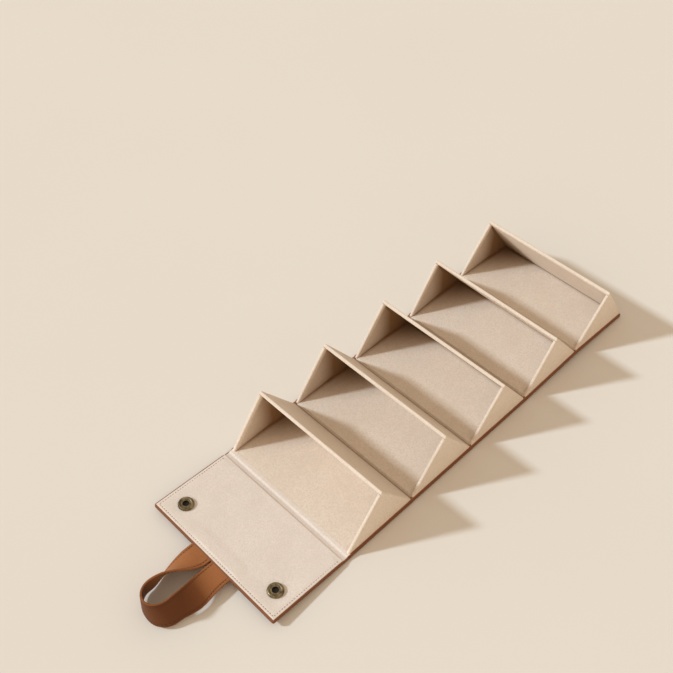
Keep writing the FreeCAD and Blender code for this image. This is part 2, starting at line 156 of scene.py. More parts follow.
CLIMB = slope(PLACE["fold_3_4"], PLACE["fold_4_5"])
DIP = FOLD - TURN["fold_4_5"]
LIFT = slope(PLACE["flap_fold"], PLACE["handle_swing"]) - slope(
    Vector((0, 0, AXIS)), Vector((0, -FLAP_LENGTH - KNUCKLE, STRAP_HEIGHT)))

HOME = {"tray_1": Matrix(), "tray_2": Matrix(), "tray_3": Matrix()}
HOME["tray_4"] = turned_about(CREASE[4], CLIMB)
HOME["tray_5"] = HOME["tray_4"] @ turned_about(CREASE[5], DIP)
HOME["flap"] = turned_about(FLAP_CREASE, LIFT)

# Each crease: where it is, the panel nearer the standing tray, the panel beyond, and the turn at rest
CREASES = {
    "flap": (FLAP_CREASE, "tray_1", "flap", LIFT),
    "1_2": (CREASE[2], "tray_2", "tray_1", 0.0),
    "2_3": (CREASE[3], "tray_2", "tray_3", 0.0),
    "3_4": (CREASE[4], "tray_3", "tray_4", CLIMB),
    "4_5": (CREASE[5], "tray_4", "tray_5", DIP),
}


def smooth(share):
    share = min(max(share, 0.0), 1.0)
    return share * share * (3 - 2 * share)


def keep_flat(piece):
    """Keep the flat places for the finish to read."""
    flat = piece.data.attributes.new("flat", "FLOAT_VECTOR", "POINT")
    flat.data.foreach_set("vector", [number for vertex in piece.data.vertices for number in vertex.co])


def rest_on(piece, panel):
    """Put a piece drawn flat where its panel rests, and let it move with that panel."""
    keep_flat(piece)
    piece.data.transform(HOME[panel])
    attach(piece, panel)


def bend_over(piece, crease):
    """Put a piece drawn flat where the two panels of a crease rest, bent smoothly between them."""
    keep_flat(piece)
    y, near, beyond, turn = CREASES[crease]
    outward = -1 if crease in ("flap", "1_2") else 1
    for vertex in piece.data.vertices:
        share = (outward * (vertex.co.y - y) + SETBACK) / (2 * SETBACK)
        vertex.co = HOME[near] @ turned_about(y, turn * smooth(share)) @ vertex.co
    reach = Vector((0, outward * SETBACK, 0))
    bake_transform(piece)


# Modelling

def begin(name, add, **settings):
    """Add a primitive with nothing else selected."""
    bpy.ops.object.select_all(action="DESELECT")
    add(**settings)
    piece = bpy.context.object
    piece.name = name
    piece.data.name = name
    return piece


def take_up(piece):
    bpy.ops.object.select_all(action="DESELECT")
    piece.select_set(True)
    bpy.context.view_layer.objects.active = piece


@contextmanager
def shaping(piece):
    """Edit mode on one piece, with its mesh to select in."""
    take_up(piece)
    bpy.ops.object.mode_set(mode="EDIT")
    bpy.ops.mesh.select_mode(type="EDGE")
    yield bmesh.from_edit_mesh(piece.data)
    bpy.ops.object.mode_set(mode="OBJECT")


def pick_edges(mesh, test):
    """Select the edges whose two ends pass the test."""
    bpy.ops.mesh.select_all(action="DESELECT")
    for edge in mesh.edges:
        edge.select = test(edge.verts[0].co, edge.verts[1].co)
    mesh.select_flush_mode()


def face_outwards():
    bpy.ops.mesh.select_all(action="SELECT")
    bpy.ops.mesh.normals_make_consistent(inside=False)


def round_off(piece, width, segments, test):
    """Round the edges that pass the test."""
    with shaping(piece) as mesh:
        pick_edges(mesh, test)
        bpy.ops.mesh.bevel(offset=width, offset_type="OFFSET", segments=segments, profile=0.5, affect="EDGES")
        face_outwards()


def slice_at(piece, stations, across=(0, 1, 0)):
    """Cut the mesh across at each station, so that it can bend there."""
    with shaping(piece):
        for station in stations:
            bpy.ops.mesh.select_all(action="SELECT")
            bpy.ops.mesh.bisect(plane_co=Vector(across) * station, plane_no=across)


def soften(piece, degrees):
    """Shade smooth, apart from edges sharper than this."""
    take_up(piece)
    bpy.ops.object.shade_smooth_by_angle(angle=math.radians(degrees))


def even_out(piece, degrees=50):
    """Smooth the rounded edges and leave the broad faces flat."""
    soften(piece, degrees)
    finish_with(piece, "WEIGHTED_NORMAL", keep_sharp=True, weight=50)


def finish_with(piece, kind, **settings):
    """Add a modifier and apply it."""
    modifier = piece.modifiers.new(kind.title(), kind)
    for name, value in settings.items():
        setattr(modifier, name, value)
    take_up(piece)
    bpy.ops.object.modifier_apply(modifier=modifier.name)


def joined(name, pieces):
    """Several pieces as one."""
    bpy.ops.object.select_all(action="DESELECT")
    for piece in pieces:
        piece.select_set(True)
    bpy.context.view_layer.objects.active = pieces[0]
    if len(pieces) > 1:
        bpy.ops.object.join()
    pieces[0].name = name
    pieces[0].data.name = name
    return pieces[0]


def copied(piece, name, along):
    """A copy with its own mesh, further along the strip."""
    take_up(piece)
    bpy.ops.object.duplicate()
    copy = bpy.context.object
    copy.name = name
    copy.data.name = name
    copy.data.transform(Matrix.Translation((0, along, 0)))
    return copy


def block(name, x, y, z):
    """Box between pairs of limits."""
    piece = begin(name, bpy.ops.mesh.primitive_cube_add, size=1)
    for vertex in piece.data.vertices:
        vertex.co = [limits[0] if c < 0 else limits[1] for c, limits in zip(vertex.co, (x, y, z))]
    return piece


def prism(name, section, x):
    """A YZ outline drawn across the strip between two X limits."""
    piece = begin(name, bpy.ops.mesh.primitive_circle_add, vertices=len(section), fill_type="NGON")
    for vertex, (y, z) in zip(piece.data.vertices, section):
        vertex.co = (x[0], y, z)
    with shaping(piece):
        bpy.ops.mesh.select_all(action="SELECT")
        bpy.ops.mesh.extrude_region_move(TRANSFORM_OT_translate={"value": (x[1] - x[0], 0, 0)})
        face_outwards()
    return piece


def lathed(name, profile, centre):
    """Round piece: a disc drawn out ring by ring through (radius, height) steps, closed at both ends."""
    radius, height = profile[0]
    piece = begin(name, bpy.ops.mesh.primitive_circle_add,
                  vertices=ROUND_SIDES, radius=radius, fill_type="NGON")
    with shaping(piece):
        bpy.ops.mesh.select_all(action="SELECT")
        for next_radius, next_height in profile[1:]:
            bpy.ops.mesh.extrude_region_move(
                TRANSFORM_OT_translate={"value": (0, 0, next_height - height)})
            scale = next_radius / radius
            bpy.ops.transform.resize(value=(scale, scale, 1), center_override=(0, 0, next_height))
            radius, height = next_radius, next_height
        face_outwards()
    piece.data.transform(Matrix.Translation(Vector(centre) + Vector((0, 0, profile[0][1]))))
    return piece


def stitch_row(name, start, step, count):
    """A row of stitches, each a thread that dips into the leather at both ends."""
    piece = begin(name, bpy.ops.mesh.primitive_uv_sphere_add, segments=8, ring_count=5, radius=1)
    along = Vector(step).normalized()
    turn = Matrix.Rotation(math.atan2(-along.x, along.y), 4, "Z")
    piece.data.transform(Matrix.Translation(start) @ turn @ Matrix.Diagonal((*STITCH, 1)))
    finish_with(piece, "ARRAY", count=count, use_relative_offset=False, use_constant_offset=True,
                constant_offset_displace=step)
    return piece


def stitches_between(name, start, end):
    """Stitches evenly spaced from one point to another."""
    start, end = Vector(start), Vector(end)
    count = max(int((end - start).length / STITCH_PITCH), 1)
    step = (end - start) / count
    return stitch_row(name, start + step / 2, step, count)


def sewn(name, rows, thread):
    """Rows of stitches as one piece. Each row has a start and an end."""
    piece = joined(name, [stitches_between(name, start, end) for start, end in rows])
    soften(piece, degrees=80)
    dress(piece, thread)
    return piece


def dress(piece, material):
    piece.data.materials.clear()
    piece.data.materials.append(material)


# Finishes

class Tone:
    """A value in a finish's nodes. Arithmetic on it adds the Math nodes."""

    def __init__(self, tree, socket=None):
        self.tree = tree
        self.socket = socket

    def node(self, kind, sockets, settings=None, out=0):
        """Add a node: its settings first, then the values or links of its sockets."""
        made = self.tree.nodes.new(kind)
        for name, value in (settings or {}).items():
            setattr(made, name, value)
        for name, value in sockets.items():
            if isinstance(value, Tone):
                self.tree.links.new(value.socket, made.inputs[name])
            else:
                made.inputs[name].default_value = value
        return Tone(self.tree, made.outputs[out])

    def math(self, operation, *values):
        return self.node("ShaderNodeMath", dict(enumerate(values)), {"operation": operation})

    def __add__(self, other):
        return self.math("ADD", self, other)

    def __sub__(self, other):
        return self.math("SUBTRACT", self, other)

    def __rsub__(self, other):
        return self.math("SUBTRACT", other, self)

    def __mul__(self, other):
        return self.math("MULTIPLY", self, other)

    def __truediv__(self, other):
        return self.math("DIVIDE", self, other)

    def __abs__(self):
        return self.math("ABSOLUTE", self)

    __radd__ = __add__
    __rmul__ = __mul__

    def least(self, other):
        return self.math("MINIMUM", self, other)

    def ramp(self, low, high):
        """0 below low, 1 above high, eased between."""
        return self.node("ShaderNodeMapRange", {"Value": self, "From Min": low, "From Max": high},
                         {"interpolation_type": "SMOOTHSTEP"})

    def mix(self, dark, light):
        """Colour from dark to light by this value."""
        return self.node("ShaderNodeMix", {0: self, 6: dark, 7: light}, {"data_type": "RGBA"}, out=2)

    def noise(self, scale, detail, roughness=0.55):
        """Noise over this vector."""
        return self.node("ShaderNodeTexNoise",
                         {"Vector": self, "Scale": scale, "Detail": detail, "Roughness": roughness})

    def cells(self, scale):
        """Soft round cells over this vector."""
        return self.node("ShaderNodeTexVoronoi", {"Vector": self, "Scale": scale}, {"feature": "SMOOTH_F1"})

    def stretched(self, scale):
        return self.node("ShaderNodeMapping", {"Vector": self, "Scale": scale})

    def bumped(self, height, depth):
        """Surface direction from a height of 0 to 1 over a depth in metres."""
        return self.node("ShaderNodeBump", {"Height": height, "Distance": depth, "Strength": 1.0})


def rgb(red, green, blue):
    return red, green, blue, 1.0


def new_finish(name, **constants):
    """A material, its shader's sockets and a start for its nodes."""
    material = bpy.data.materials.new(name)
    material.use_nodes = True
    tree = material.node_tree
    shader = tree.nodes["Principled BSDF"]
    for socket, value in constants.items():
        shader.inputs[socket.replace("_", " ")].default_value = value
    return material, shader, Tone(tree)


def connect(shader, start, **sockets):
    for socket, tone in sockets.items():
        start.tree.links.new(tone.socket, shader.inputs[socket.replace("_", " ")])


def flat_places(start):
    return start.node("ShaderNodeAttribute", {}, {"attribute_name": "flat"}, out=1)


def part_of(vector, axis):
    return vector.node("ShaderNodeSeparateXYZ", {"Vector": vector}, out="XYZ".index(axis))


PAINTED_BEND_SHADE = rgb(0.085, 0.023, 0.005)                # painted shade for the strap's bend
SUEDE_SHADOW = rgb(0.20, 0.095, 0.028)              # painted shade for the suede on rims, in corners, folds and creases


def grained_leather(name, shine, edge_of, sewn_at, burnished, base, deep, worn, bend_shade_of=None):
    """Smooth-milled cowhide: fine pebbles, cloudy tone, burnished edges, a furrow along the stitches and, if
    given, painted shade.
    """
    material, shader, start = new_finish(name, Specular_IOR_Level=shine)
    flat = flat_places(start)
    edge = edge_of(flat)
    cloud = flat.noise(scale=34, detail=4)
    pores = flat.noise(scale=2600, detail=2)
    pebbles = flat.cells(scale=1150)
    wrinkles = flat.stretched((1.0, 0.45, 1.0)).noise(scale=420, detail=3)
    burnish = 1 - edge.ramp(0.2 * MM, 2.2 * MM)
    furrow = abs(edge - sewn_at).ramp(0.15 * MM, 0.75 * MM)
    tone = (0.68 + cloud.ramp(0.2, 0.8) * 0.32).mix(deep, base)
    tone = (pebbles.ramp(0.15, 0.75) * 0.22).mix(tone, worn)
    tone = (burnish * burnished).mix(tone, deep)
    # painted shade round the strap's bend
    if bend_shade_of:
        tone = (bend_shade_of(flat) * 0.85).mix(tone, PAINTED_BEND_SHADE)
    tone = ((1 - furrow) * 0.3).mix(tone, deep)
    height = (1 - pebbles) * 0.5 + pores * 0.2 + wrinkles * 0.5
    grain = start.bumped(height, 0.11 * MM)
    normal = start.node("ShaderNodeBump", {"Height": furrow, "Distance": FURROW, "Normal": grain})
    gloss = 0.46 + pebbles * 0.12 + cloud * 0.12
    connect(shader, start, Base_Color=tone, Roughness=gloss, Normal=normal)
    return material


def strip_edge(flat):
    """Distance from the strip's outline."""
    x, y = abs(part_of(flat, "X")), part_of(flat, "Y")
    return (SHELL_HALF - x).least(y - FREE_EDGE).least(FAR_EDGE - y)


def strap_edge(flat):
    """Distance from the strap's long edges."""
    return STRAP_WIDTH / 2 - abs(part_of(flat, "X"))


def bend_shade(flat):
    """Painted shade: 1 round the bend of the strap, less near its long edges."""
    run = part_of(flat, "Y") / STRAP_LENGTH
    off_the_edge = 0.35 + strap_edge(flat).ramp(0.1 * MM, 1.0 * MM) * 0.65
    return run.ramp(0.30, 0.46) * (1 - run.ramp(0.68, 0.93)) * off_the_edge


def suede(name, base, shade, blush):
    """Brushed microsuede: a cloudy nap and mottled fibres, with painted shade on the rims, down in the
    corners and along the folds and creases.
    """
    material, shader, start = new_finish(
        name, Sheen_Weight=0.06, Sheen_Roughness=0.55, Specular_IOR_Level=0.06)
    flat = flat_places(start)
    brushed = flat.stretched((1.0, 0.6, 1.0)).noise(scale=40, detail=4, roughness=0.6)
    rosy = flat.noise(scale=110, detail=3, roughness=0.6)
    mottle = flat.stretched((1.0, 0.8, 0.9)).noise(scale=820, detail=4, roughness=0.7)
    fibres = flat.noise(scale=1500, detail=3, roughness=0.7)
    tone = (0.45 + brushed.ramp(0.2, 0.8) * 0.55).mix(shade, base)
    tone = (rosy.ramp(0.4, 0.7) * 0.65).mix(tone, blush)
    tone = (mottle.ramp(0.39, 0.64) * 0.85).mix(tone, shade)
    tone = (fibres.ramp(0.5, 0.75) * 0.4).mix(tone, shade)
    inside, height, along = places_in_tray(flat)
    # painted shade along the rims of the tray walls
    rim = (1 - inside.ramp(0.6 * MM, 1.6 * MM)) * height.ramp(3 * MM, 6 * MM)
    tone = (rim * 0.10).mix(tone, SUEDE_SHADOW)
    # painted shade deep in the trays' corners, along their seams and on their end walls
    tone = (painted_tray_shade(flat, height, along) * inside.ramp(1 * MM, 6 * MM)).mix(tone, SUEDE_SHADOW)
    # painted shade along the flap's fold
    fold = 1 - abs(part_of(flat, "Y") - CREASE[1] + 3.0 * MM).ramp(0.6 * MM, 2.0 * MM)
    tone = (fold * 0.17).mix(tone, SUEDE_SHADOW)
    # painted shade along the creases between the trays, beyond tray 1
    crease = 1 - along.least(PITCH - along).ramp(0.3 * MM, 1.8 * MM)
    beyond_tray_1 = part_of(flat, "Y").ramp(CREASE[1] + 0.4 * PITCH, CREASE[2])
    tone = (crease * (1 - fold) * beyond_tray_1 * 0.6).mix(tone, SUEDE_SHADOW)
    nap = start.bumped(fibres * 0.5 + mottle * 0.5, 0.25 * MM)
    gloss = 0.82 + brushed * 0.12
    connect(shader, start, Base_Color=tone, Roughness=gloss, Normal=nap)
    return material


def places_in_tray(flat):
    """Depth behind a tray's open side, height above its fold axis and distance from its crease."""
    along_strip = part_of(flat, "Y") - CREASE[1]
    along = along_strip - along_strip.math("FLOOR", along_strip / PITCH) * PITCH
    height = part_of(flat, "Z") - AXIS
    inside = along * math.sin(WALL_SLOPE) - height * math.cos(WALL_SLOPE)
    return inside, height, along


def painted_tray_shade(flat, height, along):
    """Painted shade: near 1 deep in a tray's far left corner, less along its seams and end walls, 0 outside
    it.
    """
    up = abs(height + AXIS - BASE_TOP)
    inside_end = CLEAR_HALF - abs(part_of(flat, "X"))
    inside_wall = (PITCH - along) * math.sin(WALL_SLOPE) - height * math.cos(WALL_SLOPE) - WALL
    from_end, from_wall = abs(inside_end), abs(inside_wall)
    from_left = abs(CLEAR_HALF + part_of(flat, "X"))
    deep = 1 - (from_left + from_wall + up).ramp(0.0, 62 * MM)
    seam = 1 - (from_end + up).least(from_wall + up).least(from_end + from_wall).ramp(0.0, 4 * MM)
    within = inside_end.ramp(-0.8 * MM, -0.4 * MM) * inside_wall.ramp(-0.8 * MM, -0.4 * MM)
    beyond_flap = part_of(flat, "Y").ramp(CREASE[1], CREASE[1] + SETBACK)
    on_end_wall = 1 - from_end.ramp(0.15 * MM, 0.6 * MM)
    # painted shade on the end walls, darkest towards the sloped wall
    end_wall_shade = on_end_wall * (0.10 + (1 - inside_wall.ramp(0.0, 30 * MM)) * 0.38)
    return (deep * 0.95 + seam * 0.3 + end_wall_shade).least(0.95) * within * beyond_flap


def waxed_thread(name, base, deep):
    """Twisted sewing thread."""
    material, shader, start = new_finish(name, Specular_IOR_Level=0.3)
    flat = flat_places(start)
    twist = flat.noise(scale=1900, detail=2)
    tone = twist.ramp(0.3, 0.7).mix(deep, base)
    gloss = 0.55 + twist * 0.2
    connect(shader, start, Base_Color=tone, Roughness=gloss, Normal=start.bumped(twist, 0.08 * MM))
    return material


def object_places(start):
    return start.node("ShaderNodeTexCoord", {}, out=3)


def antique_brass(name, patina_tone, rubbed_tone):
    """Brass with dark patina left in the hollows and a rubbed, lightly scratched face."""
    material, shader, start = new_finish(name, Metallic=1.0)
    places = object_places(start)
    patina = places.noise(scale=380, detail=5, roughness=0.65)
    rubbed = places.noise(scale=120, detail=3)
    scratches = places.stretched((1.0, 5.0, 1.0)).noise(scale=900, detail=2)
    wear = (patina * 0.6 + rubbed * 0.4).ramp(0.36, 0.62)
    tone = wear.mix(patina_tone, rubbed_tone)
    gloss = 0.52 - wear * 0.22 + scratches * 0.10
    normal = start.bumped(patina * 0.7 + scratches * 0.3, 0.05 * MM)
    connect(shader, start, Base_Color=tone, Roughness=gloss, Normal=normal)
    return material


def painted_hole_shade(name):
    """Painted shade: a near-black finish for the inside of a snap."""
    material, shader, start = new_finish(name, Metallic=0.6)
    shade_noise = object_places(start).noise(scale=700, detail=3)
    tone = shade_noise.mix(rgb(0.010, 0.008, 0.006), rgb(0.035, 0.027, 0.017))
    connect(shader, start, Base_Color=tone, Roughness=0.55 + shade_noise * 0.25)
    return material


def grey_board(name):
    """Pressed grey board with pale and dark fibres."""
    material, shader, start = new_finish(name, Specular_IOR_Level=0.2)
    places = object_places(start)
    pulp = places.noise(scale=160, detail=4)
    fibres = places.stretched((1.0, 0.3, 2.0)).noise(scale=1400, detail=3, roughness=0.7)
    tone = pulp.mix(rgb(0.24, 0.21, 0.175), rgb(0.36, 0.325, 0.275))
    tone = (fibres.ramp(0.55, 0.75) * 0.5).mix(tone, rgb(0.5, 0.46, 0.40))
    gloss = 0.85 + pulp * 0.1
    connect(shader, start, Base_Color=tone, Roughness=gloss, Normal=start.bumped(fibres, 0.1 * MM))
    return material


LEATHER = grained_leather(
    "cognac_leather", shine=0.28, edge_of=strip_edge, sewn_at=STITCH_INSET, burnished=0.85,
    base=rgb(0.345, 0.130, 0.045), deep=rgb(0.15, 0.050, 0.017), worn=rgb(0.43, 0.180, 0.072))
STRAP_LEATHER = grained_leather(
    "strap_leather", shine=0.16, edge_of=strap_edge, sewn_at=STRAP_STITCH_INSET, burnished=0.2,
    base=rgb(0.36, 0.136, 0.047), deep=rgb(0.15, 0.047, 0.015), worn=rgb(0.44, 0.185, 0.075), bend_shade_of=bend_shade)
SUEDE = suede(
    "pale_suede",
    base=rgb(0.79, 0.705, 0.64), shade=rgb(0.705, 0.61, 0.535), blush=rgb(0.82, 0.71, 0.65))
TRAY_SUEDE = suede(
    "tray_suede",
    base=rgb(0.788, 0.69, 0.592), shade=rgb(0.675, 0.557, 0.45), blush=rgb(0.808, 0.677, 0.572))
THREAD = waxed_thread("brown_thread", base=rgb(0.17, 0.058, 0.021), deep=rgb(0.085, 0.028, 0.011))
PALE_THREAD = waxed_thread("rose_thread", base=rgb(0.40, 0.255, 0.18), deep=rgb(0.24, 0.135, 0.085))
BRASS = antique_brass("antique_brass", rgb(0.20, 0.145, 0.068), rgb(0.50, 0.385, 0.195))
DARK_BRASS = antique_brass("oxidised_brass", rgb(0.085, 0.060, 0.033), rgb(0.31, 0.235, 0.13))
HOLE_SHADE = painted_hole_shade("snap_hole_shade")
BOARD = grey_board("grey_board")


# Leather

def crease_cuts(y):
    """Where the leather is cut across so that it bends smoothly at a crease."""
    return [y + SETBACK * share for share in BEND_CUTS]


def pinch_at(y, crease):
    """How far the leather is pinched thin, 0 to 1, where a crease has no board inside."""
    beyond = CREASE[1] - FLAP_CREASE if crease == FLAP_CREASE else 0.0
    away = max(crease - y, y - crease - beyond, 0.0)
    return 1 - smooth((away - 0.6 * SETBACK) / (0.55 * SETBACK))


def furrow_depth(x, y):
    """How far the outer face is drawn in by the stitches, leaving a welt along the edge."""
    edge = min(SHELL_HALF - abs(x), y - FREE_EDGE, FAR_EDGE - y)
    drawn_in = math.exp(-((edge - STITCH_INSET) / FURROW_WIDTH) ** 2)
    inside = smooth((edge - STITCH_INSET) / (4 * FURROW_WIDTH))
    return FURROW * drawn_in + PANEL_SUNK * inside


def leather_panel(name, y, crease):
    """Leather and the turned edges round its board."""
    piece = block(name, (-SHELL_HALF, SHELL_HALF), y, (0, BASE_TOP))
    free = [end for end in y if end in (FREE_EDGE, FAR_EDGE)]
    ends = [end for end in y if end not in free]

    def at_corner(a, b):
        return abs(a.z - b.z) > MM and any(abs(a.y - end) < TOUCH for end in free)

    def on_rim(a, b):
        level = abs(a.z - b.z) < TOUCH
        at_seam = any(abs(a.y - end) < TOUCH and abs(b.y - end) < TOUCH for end in ends)
        return level and not at_seam

    if free:
        round_off(piece, CORNER_ROUND, segments=5, test=at_corner)
    round_off(piece, EDGE_ROUND, segments=4, test=on_rim)
    sides = [SHELL_HALF - inset for inset in WELT_CUTS] + [TURNED, INSIDE_HALF]
    slice_at(piece, sides + [-x for x in sides], (1, 0, 0))
    slice_at(piece, [end + inset * (1 if end == FREE_EDGE else -1) for end in free for inset in WELT_CUTS])
    slice_at(piece, crease_cuts(crease))
    if crease == FLAP_CREASE:
        slice_at(piece, crease_cuts(CREASE[1]))
    for vertex in piece.data.vertices:
        if vertex.co.z < TOUCH:
            vertex.co.z = furrow_depth(vertex.co.x, vertex.co.y)
            continue
        turned_edge = smooth((abs(vertex.co.x) - INSIDE_HALF) / (TURNED - INSIDE_HALF))
        thickness = LEATHER_THICK + (AXIS - LEATHER_THICK) * turned_edge
        vertex.co.z -= (BASE_TOP - thickness) * pinch_at(vertex.co.y, crease) * vertex.co.z / BASE_TOP
    even_out(piece, degrees=35)
    dress(piece, LEATHER)
    return piece


def outer_stitches(name, y):
    """Both side rows on the outer leather, and the row along a free end."""
    x = SHELL_HALF - STITCH_INSET
    low = y[0] + STITCH_INSET if y[0] == FREE_EDGE else y[0]
    high = y[1] - STITCH_INSET if y[1] == FAR_EDGE else y[1]
    z = OUTER_STITCH
    rows = [((side * x, low, z), (side * x, high, z)) for side in (-1, 1)]
    for end, free in ((low, y[0] == FREE_EDGE), (high, y[1] == FAR_EDGE)):
        if free:
            rows.append(((-x, end, z), (x, end, z)))
    return sewn(name, rows, THREAD)


def middle_of(tray):
    return CREASE[tray] + PITCH / 2


LEATHER_RUNS = {
    "flap": (FREE_EDGE, middle_of(1)),
    "1_2": (middle_of(1), middle_of(2)),
    "2_3": (middle_of(2), middle_of(3)),
    "3_4": (middle_of(3), middle_of(4)),
    "4_5": (middle_of(4), FAR_EDGE),
}
LEATHER_NODES = {
    "flap": ("flap_leather", "crease_flap"),
    "1_2": ("tray_1_leather", "crease_1_2"),
    "2_3": ("tray_2_leather", "crease_2_3"),
    "3_4": ("tray_3_leather", "crease_3_4"),
    "4_5": ("tray_4_leather", "tray_5_leather", "crease_4_5"),
}

for crease, run in LEATHER_RUNS.items():
    leather = leather_panel(f"leather_{crease}", run, CREASES[crease][0])
    bend_over(leather, crease)
    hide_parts(*LEATHER_NODES[crease])
    stitches = outer_stitches(f"outer_stitches_{crease}", run)
    bend_over(stitches, crease)


# Lined trays, drawn once at tray 1 and copied

def opening_y(z, inset=0.0):
    """The tray's open side, in its own frame from its crease."""
    return (z - AXIS) / math.tan(WALL_SLOPE) + (FACE_GAP + inset) / math.sin(WALL_SLOPE)


def wall_y(z, depth=0.0):
    """The sloped wall, from its outer face inwards."""
    return PITCH - opening_y(z, depth)


def ridge(depth):
    """Top of the wall where the open side cuts it."""
    half_span = (PITCH - (2 * FACE_GAP + depth) / math.sin(WALL_SLOPE)) / 2
    z = AXIS + half_span * math.tan(WALL_SLOPE)
    return opening_y(z), z


def lined_walls(name, start):
    """Sloped wall and two end walls, suede wrapped over board."""
    wall = prism(name, [
        (wall_y(BASE_TOP), BASE_TOP),
        ridge(0),
        ridge(WALL),
        (wall_y(BASE_TOP, WALL), BASE_TOP),
    ], (-TRAY_HALF, TRAY_HALF))
    pieces = [wall]
    seam = WALL + 0.02 * MM                         # the end walls stop just short of the sloped wall
    for x in ((-TRAY_HALF, -CLEAR_HALF), (CLEAR_HALF, TRAY_HALF)):
        pieces.append(prism(name, [
            (opening_y(BASE_TOP), BASE_TOP),
            ridge(seam),
            (wall_y(BASE_TOP, seam), BASE_TOP),
        ], x))
    feet = (wall_y(BASE_TOP, WALL), wall_y(BASE_TOP, seam))

    def shows(a, b):
        hidden = any(abs(end.y - foot) < TOUCH for end in (a, b) for foot in feet)
        return max(a.z, b.z) > BASE_TOP + MM and not hidden

    for piece in pieces:
        round_off(piece, LINED_ROUND, segments=5, test=shows)
        even_out(piece)
    walls = joined(name, pieces)
    walls.data.transform(Matrix.Translation((0, start, 0)))
    dress(walls, TRAY_SUEDE)
    return walls


def floor_pad(name, start):
    """Suede floor, a little proud of the leather, with edges tucked down at the walls."""
    y = start + SETBACK * 0.7, start + wall_y(BASE_TOP, WALL) - 0.1 * MM
    half = CLEAR_HALF - 0.15 * MM
    top = BASE_TOP + FLOOR_PROUD
    pad = block(name, (-half, half), y, (top - FLOOR_THICK, top))
    round_off(pad, FLOOR_ROUND, segments=4, test=lambda a, b: min(a.z, b.z) > BASE_TOP)
    even_out(pad)
    dress(pad, TRAY_SUEDE)
    return pad


def crease_lining(name, y):
    """Suede strip that fills the inside of a crease, hollowed along the fold."""
    low, high = -1.0 * MM, SETBACK * 0.9
    underside = LEATHER_THICK + 0.1 * MM
    half = TRAY_HALF - 0.2 * MM
    steps = 10
    top = []
    for step in range(steps + 1):
        share = step / steps
        hollow = 1.4 * MM * math.sin(math.pi * share)
        top.append((y + high + (low - high) * share, BASE_TOP + 0.05 * MM - hollow))
    section = [(y + low, underside), (y + high, underside)] + top
    strip = prism(name, section, (-half, half))
    soften(strip, degrees=50)
    dress(strip, TRAY_SUEDE)
    return strip


first_walls = lined_walls("walls_1", CREASE[1])
first_floor = floor_pad("floor_1", CREASE[1])
for tray in TRAYS:
    along = CREASE[tray] - CREASE[1]
    walls = first_walls if tray == 1 else copied(first_walls, f"walls_{tray}", along)
    floor = first_floor if tray == 1 else copied(first_floor, f"floor_{tray}", along)
    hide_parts(f"tray_{tray}_wall_lining", f"tray_{tray}_left_end_lining", f"tray_{tray}_right_end_lining")
    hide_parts(f"tray_{tray}_floor_lining")
    if tray > 1:
        rest_on(walls, f"tray_{tray}")
        rest_on(floor, f"tray_{tray}")
rest_on(first_walls, "tray_1")
rest_on(first_floor, "tray_1")
for tray in TRAYS[1:]:
    crease = f"{tray - 1}_{tray}"
    bend_over(crease_lining(f"crease_lining_{crease}", CREASE[tray]), crease)


# Flap lining

# How far the flap's lining lies above the turned edge, and what raises it (+) or draws it down (-)
LINING_LIES = 0.25 * MM
WITHIN_THE_EDGE = 0.40 * MM
AT_THE_STITCHES = -0.20 * MM
AT_THE_VERY_EDGE = -0.30 * MM
OVER_THE_STRAP = 0.35 * MM
ROUND_A_SNAP = -0.22 * MM
IN_THE_FOLD = -1.0 * MM
PUCKER = 0.3 * MM
DEEPEST_PUCKER = -0.15 * MM
PUCKER_SPACING = 24 * MM
STRAP_FADE = 7 * MM                                 # the strap ends show through this far past their outline
SNAP_FADE = 9 * MM


def lining_height(x, y):
    """Height of the flap's lining at a place on the strip."""
    edge = min(SHELL_HALF - abs(x), y - FREE_EDGE)
    from_seam = edge - STITCH_INSET
    before_crease = 1 - smooth((y - FLAP_CREASE + 2.5 * SETBACK) / (1.5 * SETBACK))
    rim = WITHIN_THE_EDGE * (1 - smooth(from_seam / (14 * MM)))
    rim += AT_THE_STITCHES * math.exp(-(from_seam / FURROW_WIDTH) ** 2)
    rim += AT_THE_VERY_EDGE * math.exp(-(edge - LINING_MARGIN) / (0.5 * MM))
    beside_strap = smooth((abs(x) - STRAP_END_X - STRAP_WIDTH / 2) / STRAP_FADE)
    past_strap = smooth((y - FREE_EDGE - STRAP_INSIDE) / STRAP_FADE)
    strap_end = OVER_THE_STRAP * (1 - beside_strap) * (1 - past_strap) * smooth(from_seam / (2 * MM))
    from_snap = Vector((abs(x) - SNAP_X, y - SNAP_Y)).length
    snap = ROUND_A_SNAP * math.exp(-(from_snap / SNAP_FADE) ** 2)
    pucker = PUCKER * noise.noise(Vector((x, y, 0)) / PUCKER_SPACING)
    fold_starts = smooth((y - FLAP_CREASE + 0.7 * SETBACK) / (1.8 * MM))
    fold_ends = smooth((y - CREASE[1] + 2.8 * MM) / (2.8 * MM))
    fold = IN_THE_FOLD * fold_starts * (1 - fold_ends)
    puckered = max(pucker * before_crease, DEEPEST_PUCKER)
    return BASE_TOP + LINING_LIES + rim * before_crease + strap_end + puckered + snap + fold


def flap_lining(name):
    """Suede sheet over the inside of the flap and its crease."""
    x = SHELL_HALF - LINING_MARGIN
    low, high = FREE_EDGE + LINING_MARGIN, CREASE[1] + SETBACK
    sheet = begin(name, bpy.ops.mesh.primitive_grid_add, x_subdivisions=140, y_subdivisions=150, size=1)
    for vertex in sheet.data.vertices:
        vertex.co.x *= 2 * x
        vertex.co.y = low + (vertex.co.y + 0.5) * (high - low)
        vertex.co.z = lining_height(vertex.co.x, vertex.co.y)
    finish_with(sheet, "SOLIDIFY", thickness=LINING_THICK, offset=-1)
    with shaping(sheet):
        face_outwards()
    soften(sheet, degrees=60)
    dress(sheet, SUEDE)
    return sheet


lining = flap_lining("lining_flap")
bend_over(lining, "flap")
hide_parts("flap_lining")


